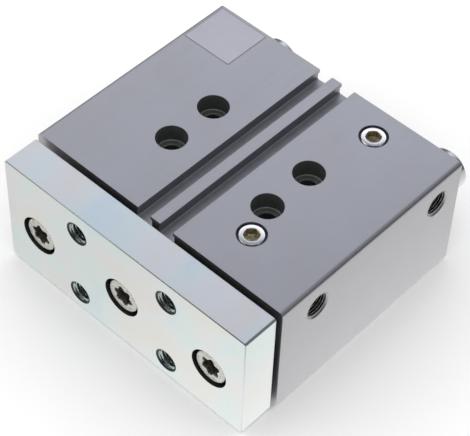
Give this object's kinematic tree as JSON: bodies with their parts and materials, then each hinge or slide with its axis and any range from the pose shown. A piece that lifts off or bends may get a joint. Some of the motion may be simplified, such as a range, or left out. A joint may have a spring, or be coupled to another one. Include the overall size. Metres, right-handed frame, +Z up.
{
  "type": "guided pneumatic cylinder",
  "caption": "Compact guided pneumatic cylinder with a flat aluminium housing, twin guide rods, a steel yoke plate and sensor slots.",
  "frame": {"origin": "centre of the four mounting holes on the housing's bottom face", "axes": "+Z up out of the top face with the sensor slots, +Y along the stroke towards the housing's rear, so the yoke plate moves out towards -Y; +X across the housing towards the side with the air ports"},
  "size_m": [0.112, 0.1247, 0.0501],
  "materials": {
    "anodised_housing": "satin natural anodised extrusion, grey with a faint violet cast",
    "turned_aluminium": "turned, uncoated",
    "nitrile_rubber": "black, matt",
    "polyurethane_seal": "dark polyurethane, satin",
    "phosphated_spring_steel": "phosphated, dark grey",
    "sintered_bronze": "sintered bronze, matt",
    "bearing_steel": "ground",
    "acetal": "moulded acetal, natural white",
    "polished_balls": "lapped bearing balls",
    "nickel_plated_plug": "bright nickel plated",
    "label_film": "bare silver-grey film",
    "zinc_plated_steel": "bright zinc plated, pale with a faint blue-green cast",
    "chromed_rod": "hard chromed and polished",
    "ferrite": "sintered ferrite, dark",
    "zinc_plated_screw": "zinc plated, satin"
  },
  "bodies": {
    "housing": {"housing": "anodised_housing", "front_bearing_cap": "turned_aluminium", "rear_end_cap": "turned_aluminium", "cap_o_rings": "nitrile_rubber", "cap_retaining_rings": "phosphated_spring_steel", "rod_bush": "sintered_bronze", "rod_seal": "polyurethane_seal", "front_bumper": "polyurethane_seal", "rear_bumper": "polyurethane_seal", "bushing_shells": "bearing_steel", "bushing_cages": "acetal", "bushing_balls": "polished_balls", "guide_wipers": "nitrile_rubber", "guide_retaining_rings": "phosphated_spring_steel", "port_plugs": "nickel_plated_plug", "type_label": "label_film"},
    "slide": {"yoke_plate": "zinc_plated_steel", "guide_rod_left": "chromed_rod", "guide_rod_right": "chromed_rod", "piston_rod": "chromed_rod", "piston_front_half": "turned_aluminium", "piston_rear_half": "turned_aluminium", "stem_o_ring": "nitrile_rubber", "piston_magnet": "ferrite", "piston_guide_band": "acetal", "piston_seals": "nitrile_rubber", "stem_nut": "zinc_plated_steel", "guide_rod_screws": "zinc_plated_screw", "piston_rod_screw": "zinc_plated_screw"}
  },
  "joints": [
    {"name": "stroke", "type": "slide", "parent": "housing", "child": "slide", "axis": [0, -1, 0], "range_m": [0, 0.04]}
  ]
}
